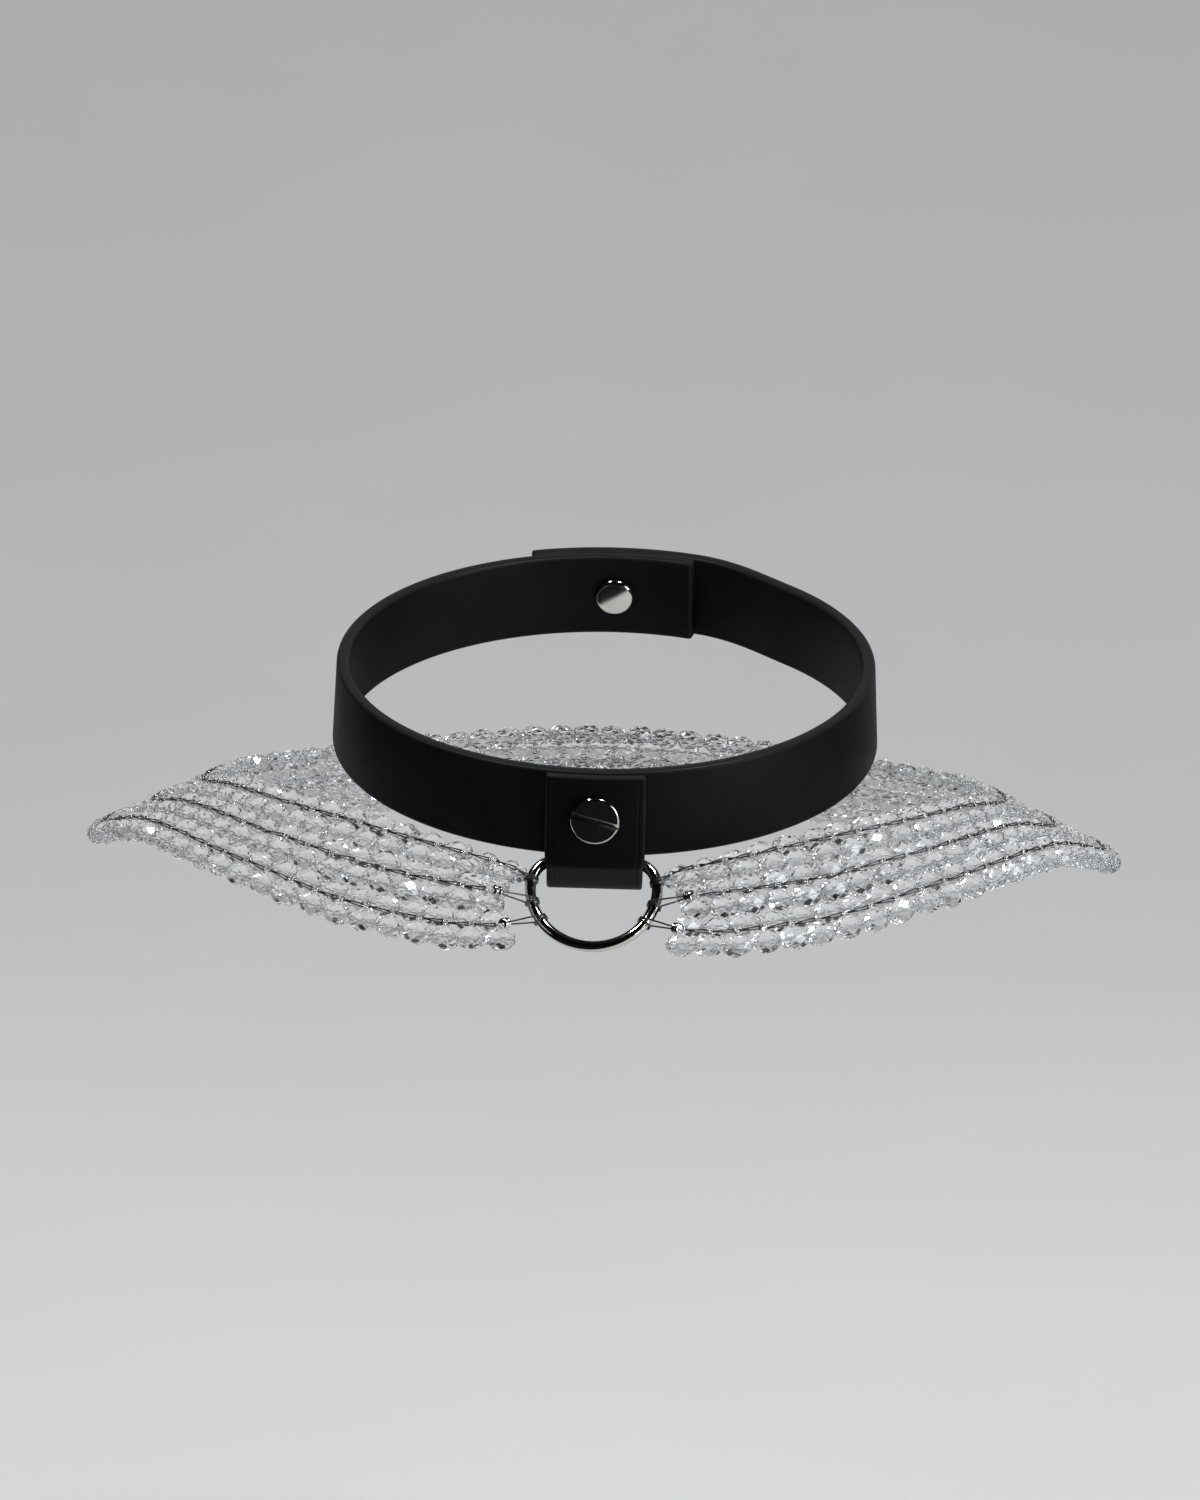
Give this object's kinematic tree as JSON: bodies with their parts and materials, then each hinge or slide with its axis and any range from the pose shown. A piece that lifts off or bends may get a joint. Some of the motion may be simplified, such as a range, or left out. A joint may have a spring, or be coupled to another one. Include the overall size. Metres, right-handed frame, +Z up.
{
  "type": "leather choker with crystal bead strands",
  "caption": "Leather strap worn round the neck, with a folded tab and ring at the front from which strands of clear faceted beads and fine chain run round the base of the neck.",
  "frame": {"origin": "middle of the hollow that the strap makes round the neck, at half the strap's height", "axes": "+Z up, the wearer faces -Y, and +X is on the wearer's left; the strap leans forward by 14 degrees, as it does when worn"},
  "size_m": [0.2362, 0.1625, 0.0691],
  "materials": {
    "leather": "satin",
    "nickel": "polished",
    "silver": "polished",
    "gunmetal": "satin",
    "crystal": "polished"
  },
  "bodies": {
    "root": {"strap": "leather", "tab": "leather", "screw": "nickel", "screw_post": "nickel", "closing_stud": "nickel", "d_ring": "nickel", "chain_1": "gunmetal", "wire_loop_1_left": "silver", "wire_loop_1_right": "silver", "chain_2": "gunmetal", "wire_loop_2_left": "silver", "wire_loop_2_right": "silver", "chain_3": "gunmetal", "wire_loop_3_left": "silver", "wire_loop_3_right": "silver", "crystal_row_1": "crystal", "crystal_row_2": "crystal", "crystal_row_3": "crystal", "crystal_row_4": "crystal", "crystal_row_5": "crystal", "crystal_row_6": "crystal"}
  },
  "joints": []
}
